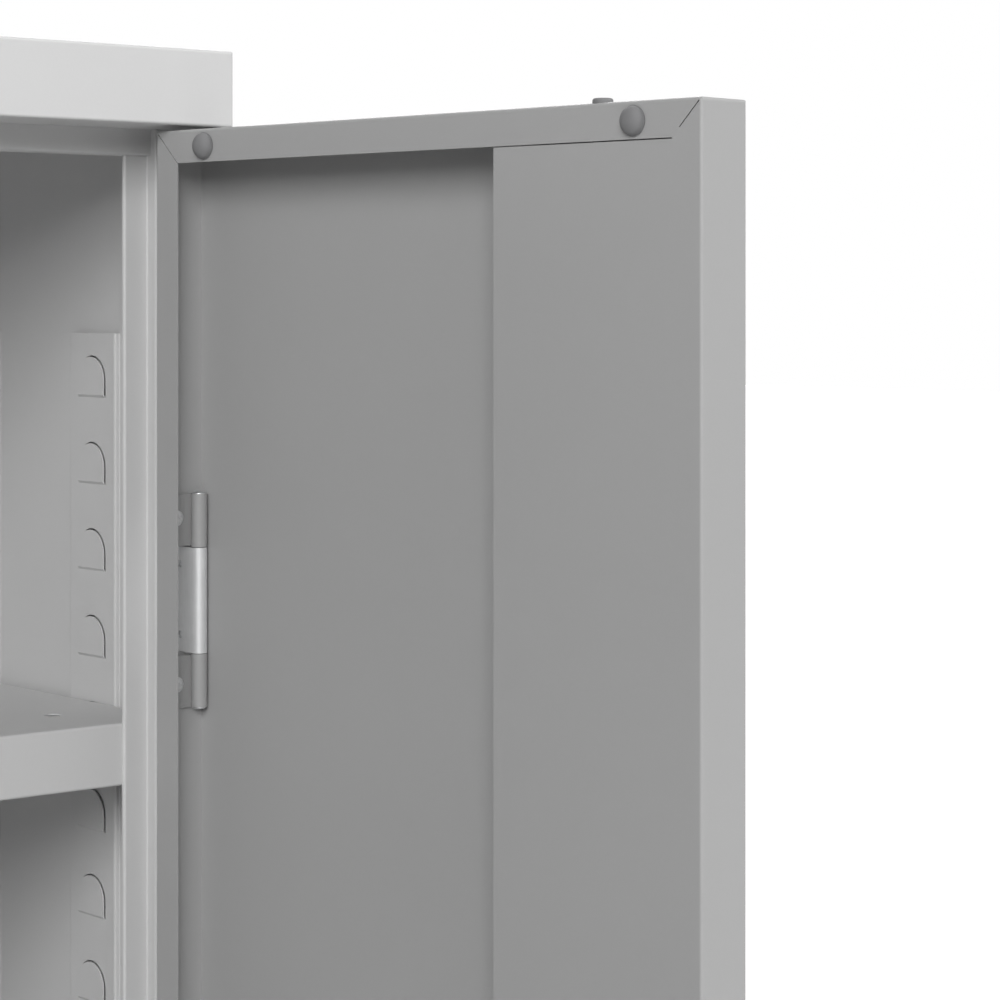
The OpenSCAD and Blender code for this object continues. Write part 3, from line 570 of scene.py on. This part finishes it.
class LOCKER_OT_mould(bpy.types.Operator):
    """Moulded plastic on bumpers, rod tips, bushes and handle"""

    bl_idname = "locker.mould"
    bl_label = "Mould Plastic Parts"

    def execute(self, context):
        look = context.scene.locker_finish
        for slot, colour, grain, roughness in (
            ("grey_plastic", look.plastic_colour, 0.0006, 0.42),
            ("dark_plastic", look.handle_colour, 0.0009, 0.38),
        ):
            paint_nodes(slot, moulded_plastic(slot, colour, grain, roughness))
        return {"FINISHED"}


class LOCKER_OT_bumpers(bpy.types.Operator):
    """Domed bumpers with a rolled rim on the doors' return flanges"""

    bl_idname = "locker.bumpers"
    bl_label = "Make Bumpers"

    def execute(self, context):
        size = context.scene.locker_pieces
        radius, height = size.bumper_diameter / 2, size.bumper_height
        rim, stem, sunk, off_face = 1.1 * MM, 2.4 * MM, 3.0 * MM, 0.02 * MM
        rolled_in, rolled_up = 0.6, 0.9
        foot_radius = radius - rim * rolled_in
        crown_radius = radius - 0.35 * MM
        turn = np.linspace(0.0, math.pi / 2, 14)[1:]
        side_r, side_h = rounded_quarter(rim, 6)
        crown_r = crown_radius * np.cos(turn * 0.999)
        crown_h = rim + (height - rim) * np.sin(turn)
        radii = [0.0, stem, stem, foot_radius, *(foot_radius + side_r * rolled_in),
                 crown_radius, *crown_r[:-1], 0.0]
        heights = [-sunk, -sunk, off_face, off_face, *(off_face + side_h * rolled_up),
                   rim, *crown_h[:-1], height]
        for side, word in ((1, "right"), (-1, "left")):
            outward = door_directions(side)[1]
            shapes = [
                turned(radii, heights, door_point(side, run, -size.flange_face, z), -outward)
                for run in (size.bumper_near, size.bumper_far)
                for z in (DOOR_HIGH - size.bumper_end, DOOR_LOW + size.bumper_end)
            ]
            make_piece(f"{word}_bumper_domes", join(shapes), material_named("grey_plastic"),
                       f"{word}_door", [f"{word}_door_bumpers"])
        return {"FINISHED"}


class LOCKER_OT_rod_tips(bpy.types.Operator):
    """Plastic caps with rounded noses on the locking rods"""

    bl_idname = "locker.rod_tips"
    bl_label = "Make Rod Tips"

    def execute(self, context):
        size = context.scene.locker_pieces
        radius, length, nose, bore = 5.0 * MM, 40 * MM, 1.3 * MM, 4.05 * MM
        cap, chamfer = 4 * MM, 0.5 * MM
        nose_r, nose_h = rounded_quarter(nose)
        radii = [0.0, bore, bore, radius - chamfer, radius, *(radius - nose_h), 0.0]
        heights = [-cap, -cap, -length, -length, -length + chamfer, *(-nose + nose_r), 0.0]
        for name, body, z, up in (
            ("upper_rod_nose", "rod_up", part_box("upper_rod_tip")[1].z, 1.0),
            ("lower_rod_nose", "rod_down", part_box("lower_rod_tip")[0].z, -1.0),
        ):
            origin = door_point(1, size.spindle_run, -size.rod_behind, z)
            shape = turned(radii, heights, origin, np.array([0.0, 0.0, up]))
            make_piece(name, shape, material_named("grey_plastic"), body,
                       [name.replace("nose", "tip")])
        return {"FINISHED"}


class LOCKER_OT_welds(bpy.types.Operator):
    """Bright weld nuggets that hold the hinge plates inside the doors"""

    bl_idname = "locker.welds"
    bl_label = "Make Hinge Welds"

    def execute(self, context):
        size = context.scene.locker_pieces
        rise, sunk, plate, back, spread = (v * MM for v in (1.1, 0.3, -2.5, -13.6, 46.0))
        turn = np.linspace(0.0, math.pi / 2, 9)
        radii = [0.0, size.nugget_radius, *(size.nugget_radius * np.cos(turn[1:-1])), 0.0]
        heights = [-sunk, -sunk, *(rise * np.sin(turn[1:-1]) ** 0.8), rise]
        for side, word in ((1, "right"), (-1, "left")):
            along = door_directions(side)[0]
            places = [
                door_point(side, plate, back, z + way * spread)
                for z in HINGE_HEIGHTS for way in (-1, 1)
            ]
            shapes = [turned(radii, heights, place, along, 28) for place in places]
            make_piece(f"{word}_hinge_welds", join(shapes), material_named("weld"),
                       f"{word}_door")
        return {"FINISHED"}


class LOCKER_OT_pin_heads(bpy.types.Operator):
    """Domed pin heads on the hinges, and rivets in the holes of the frame leaves"""

    bl_idname = "locker.pin_heads"
    bl_label = "Make Pin Heads and Rivets"

    def execute(self, context):
        up = np.array([0.0, 0.0, 1.0])
        half, head, rise, sunk = 59.05 * MM, 4.1 * MM, 1.5 * MM, 0.2 * MM
        leaf_face, leaf_run, spread = 4.5 * MM, 12.0 * MM, 19.65 * MM
        turn = np.linspace(0.0, math.pi / 2, 8)
        radii = [0.0, head, *(head * np.cos(turn[1:-1])), 0.0]
        heights = [-sunk, -sunk, *(rise * np.sin(turn[1:-1])), rise]
        rivet_r = [0.0, 1.9 * MM, 1.9 * MM, 1.3 * MM, 1.1 * MM, 0.0]
        rivet_h = [-1.8 * MM, -1.8 * MM, -0.7 * MM, -0.35 * MM, -0.5 * MM, -0.5 * MM]
        metal = material_named("zinc")
        for side, word in ((1, "right"), (-1, "left")):
            tops = [turned(radii, heights, door_point(side, 0.0, 0.0, z + way * half), way * up)
                    for z in HINGE_HEIGHTS for way in (-1, 1)]
            make_piece(f"{word}_pin_heads", join(tops), metal, f"{word}_door")
            inward = np.array([-side, 0.0, 0.0])
            face = np.array([side * (HINGE_AXIS[0] - leaf_face), HINGE_AXIS[1] + leaf_run, 0.0])
            rivets = [
                turned(rivet_r, rivet_h, face + (middle + way * spread) * up, inward, 24)
                for middle in HINGE_HEIGHTS for way in (-1, 1)
            ]
            make_piece(f"{word}_leaf_rivets", join(rivets), metal, "carcass")
        return {"FINISHED"}


class LOCKER_OT_lever(bpy.types.Operator):
    """Lever handle: a turned hub with a bored face and a grip that thins to its end"""

    bl_idname = "locker.lever"
    bl_label = "Make Lever Handle"

    def execute(self, context):
        size = context.scene.locker_pieces
        run, out, up = door_directions(1)
        centre = door_point(1, size.spindle_run, size.door_face, size.spindle_height)
        seat, top, bore, neck, hub = (v * MM for v in (3.5, 15.5, 6.55, 9.9, 13.0))
        off_door, chamfer, soft, lip = (v * MM for v in (0.2, 0.6, 2.2, 0.5))
        soft_r, soft_h = rounded_quarter(soft)
        lip_r, lip_h = rounded_quarter(lip, 4)
        radii = [bore, neck, neck, hub - chamfer, hub, *(hub - soft_h), *(bore + lip_h[::-1])]
        heights = [off_door, off_door, seat, seat, seat + chamfer, *(top - soft + soft_r),
                   *(top - lip + lip_r[::-1])]
        hub_shape = turned_ring(radii, heights, centre, out)
        make_piece("lever_hub", hub_shape, material_named("dark_plastic"), "handle",
                   ["lever_handle"])
        s = np.linspace(0.0, 1.0, 44)
        root, length, end_starts, end_part = 9.0 * MM, 109.0 * MM, 0.93, 0.07
        reach = root + length * s
        waist = 1.0 - 0.10 * np.sin(math.pi * np.clip(s * 1.6, 0, 1))
        into_end = np.clip((s - end_starts) / end_part, 0, 1)
        end = np.sqrt(np.clip(1.0 - into_end ** 2, 0.0004, 1))
        widths = (10.6 - 2.8 * s) * MM * waist * end
        depths = (4.3 - 0.9 * s) * MM * end
        lift = (11.0 - 0.4 * np.sin(math.pi * s)) * MM
        centres = centre - reach[:, None] * run + lift[:, None] * out
        grip = lofted_bar(centres, widths, depths, up, out)
        make_piece("lever_grip", grip, material_named("dark_plastic"), "handle")
        return {"FINISHED"}


class LOCKER_OT_stage(bpy.types.Operator):
    """Plain pale floor, white surroundings, soft lamps and the camera"""

    bl_idname = "locker.stage"
    bl_label = "Make Stage"

    def execute(self, context):
        stage = context.scene.locker_stage
        scene = context.scene
        scene.view_settings.view_transform = "Standard"
        self.add_floor(stage)
        self.add_room(scene, stage)
        for name, direction, width, power in (
            ("left_lamp", (-0.62, -0.66, 0.42), 2.0, stage.left_power),
            ("right_lamp", (0.45, -0.62, 0.64), 2.0, stage.right_power),
            ("back_lamp", (0.40, 0.75, 0.50), 2.4, stage.back_power),
        ):
            self.add_lamp(name, Vector(direction), width, power)
        self.add_camera(scene, stage)
        return {"FINISHED"}

    def add_floor(self, stage):
        """Flat floor, one grid of faces just under the cabinet's foot.

        The camera sees it lifted towards white, and fully white away from the cabinet.
        """
        half, steps, under = 40.0, 9, -0.6 * MM
        fade_starts, fade_ends = 1.2, 2.8
        line = np.linspace(-half, half, steps)
        x, y = np.meshgrid(line, line)
        points = np.stack([x, y, np.full_like(x, under)], -1).reshape(-1, 3)
        k, i = np.meshgrid(np.arange(steps - 1), np.arange(steps - 1), indexing="ij")
        first = k * steps + i
        faces = np.stack([first, first + 1, first + steps + 1, first + steps], -1).reshape(-1, 4)
        mesh = bpy.data.meshes.new("studio_floor")
        mesh.from_pydata(points.tolist(), [], faces.tolist())
        paint = Finish("studio_floor")
        mottle = paint.noise(paint.place(), 0.4, 3.0)
        away = paint.add(
            "ShaderNodeVectorMath", {"operation": "LENGTH"}, {0: paint.place()}, "Value"
        )
        lift = paint.add(
            "ShaderNodeMapRange", None,
            {0: away, 1: fade_starts, 2: fade_ends, 3: stage.floor_lift, 4: 1.0},
        )
        tone = paint.mix_colour(
            mottle, shade(stage.floor_colour, 0.985), shade(stage.floor_colour, 1.015)
        )
        mesh.materials.append(paint.surface({
            "Base Color": tone,
            "Roughness": 0.75 + mottle * 0.1,
            "Emission Color": paint.mix_colour(
                paint.seen_by("Camera", "Glossy") * lift, (0.0, 0.0, 0.0), (1.0, 1.0, 1.0)
            ),
            "Emission Strength": 1.0,
        }))
        floor = bpy.data.objects.new("studio_floor", mesh)
        bpy.context.scene.collection.objects.link(floor)

    def add_room(self, scene, stage):
        """Even light, and white wherever the camera or a reflection looks past the cabinet."""
        world = bpy.data.worlds.new("studio_room")
        world.use_nodes = True
        scene.world = world
        room = Finish("studio_room", world.node_tree)
        strength = room.add(
            "ShaderNodeMix", {"data_type": "FLOAT", "clamp_factor": True},
            {0: room.seen_by("Camera", "Glossy", "Transmission"), 2: stage.ambient, 3: 1.0},
        )
        light = room.add(
            "ShaderNodeBackground", None, {"Color": (1, 1, 1, 1), "Strength": strength}
        )
        room.add("ShaderNodeOutputWorld", None, {"Surface": light})

    def add_lamp(self, name, direction, width, power):
        """Square soft lamp, set off from the one point that every lamp looks at."""
        aim, distance = Vector((0.30, -0.30, 1.45)), 4.5
        data = bpy.data.lights.new(name, "AREA")
        data.shape, data.size, data.energy = "SQUARE", width, power
        lamp = bpy.data.objects.new(name, data)
        back = direction.normalized()
        lamp.location = aim + back * distance
        lamp.rotation_mode = "QUATERNION"
        lamp.rotation_quaternion = (-back).to_track_quat("-Z", "Y")
        bpy.context.scene.collection.objects.link(lamp)

    def add_camera(self, scene, stage):
        """Level camera, its view shifted down."""
        data = bpy.data.cameras.new("camera")
        data.sensor_width, data.lens, data.shift_y = 36.0, stage.camera_lens, stage.camera_drop
        data.clip_start, data.clip_end = 0.05, 100.0
        camera = bpy.data.objects.new("camera", data)
        camera.location = stage.camera_place
        camera.rotation_euler = (math.pi / 2, 0.0, -stage.camera_heading)
        scene.collection.objects.link(camera)
        scene.camera = camera


class LOCKER_PT_panel(bpy.types.Panel):
    """Lists the steps in the sidebar"""

    bl_idname = "LOCKER_PT_panel"
    bl_label = "Locker Cabinet"
    bl_space_type = "VIEW_3D"
    bl_region_type = "UI"
    bl_category = "Locker"

    def draw(self, context):
        for name in GROUPS:
            group = getattr(context.scene, name)
            box = self.layout.box()
            for key in group.bl_rna.properties.keys():
                if key not in ("rna_type", "name"):
                    box.prop(group, key)
        for step in STEPS:
            self.layout.operator(step.bl_idname)


STEPS = (
    LOCKER_OT_paint,
    LOCKER_OT_plate,
    LOCKER_OT_mould,
    LOCKER_OT_bumpers,
    LOCKER_OT_rod_tips,
    LOCKER_OT_welds,
    LOCKER_OT_pin_heads,
    LOCKER_OT_lever,
    LOCKER_OT_stage,
)
GROUPS = {
    "locker_finish": LockerFinish,
    "locker_pieces": LockerPieces,
    "locker_stage": LockerStage,
}


def register():
    """Makes the settings, steps and panel known."""
    for name, group in GROUPS.items():
        bpy.utils.register_class(group)
        setattr(bpy.types.Scene, name, bpy.props.PointerProperty(type=group))
    for item in (*STEPS, LOCKER_PT_panel):
        bpy.utils.register_class(item)


def unregister():
    """Takes them away again."""
    for item in (LOCKER_PT_panel, *reversed(STEPS)):
        bpy.utils.unregister_class(item)
    for name, group in GROUPS.items():
        delattr(bpy.types.Scene, name)
        bpy.utils.unregister_class(group)


def main():
    """Runs every step in order."""
    register()
    bpy.ops.locker.paint()
    bpy.ops.locker.plate()
    bpy.ops.locker.mould()
    bpy.ops.locker.bumpers()
    bpy.ops.locker.rod_tips()
    bpy.ops.locker.welds()
    bpy.ops.locker.pin_heads()
    bpy.ops.locker.lever()
    bpy.ops.locker.stage()


if __name__ == "__main__":
    main()
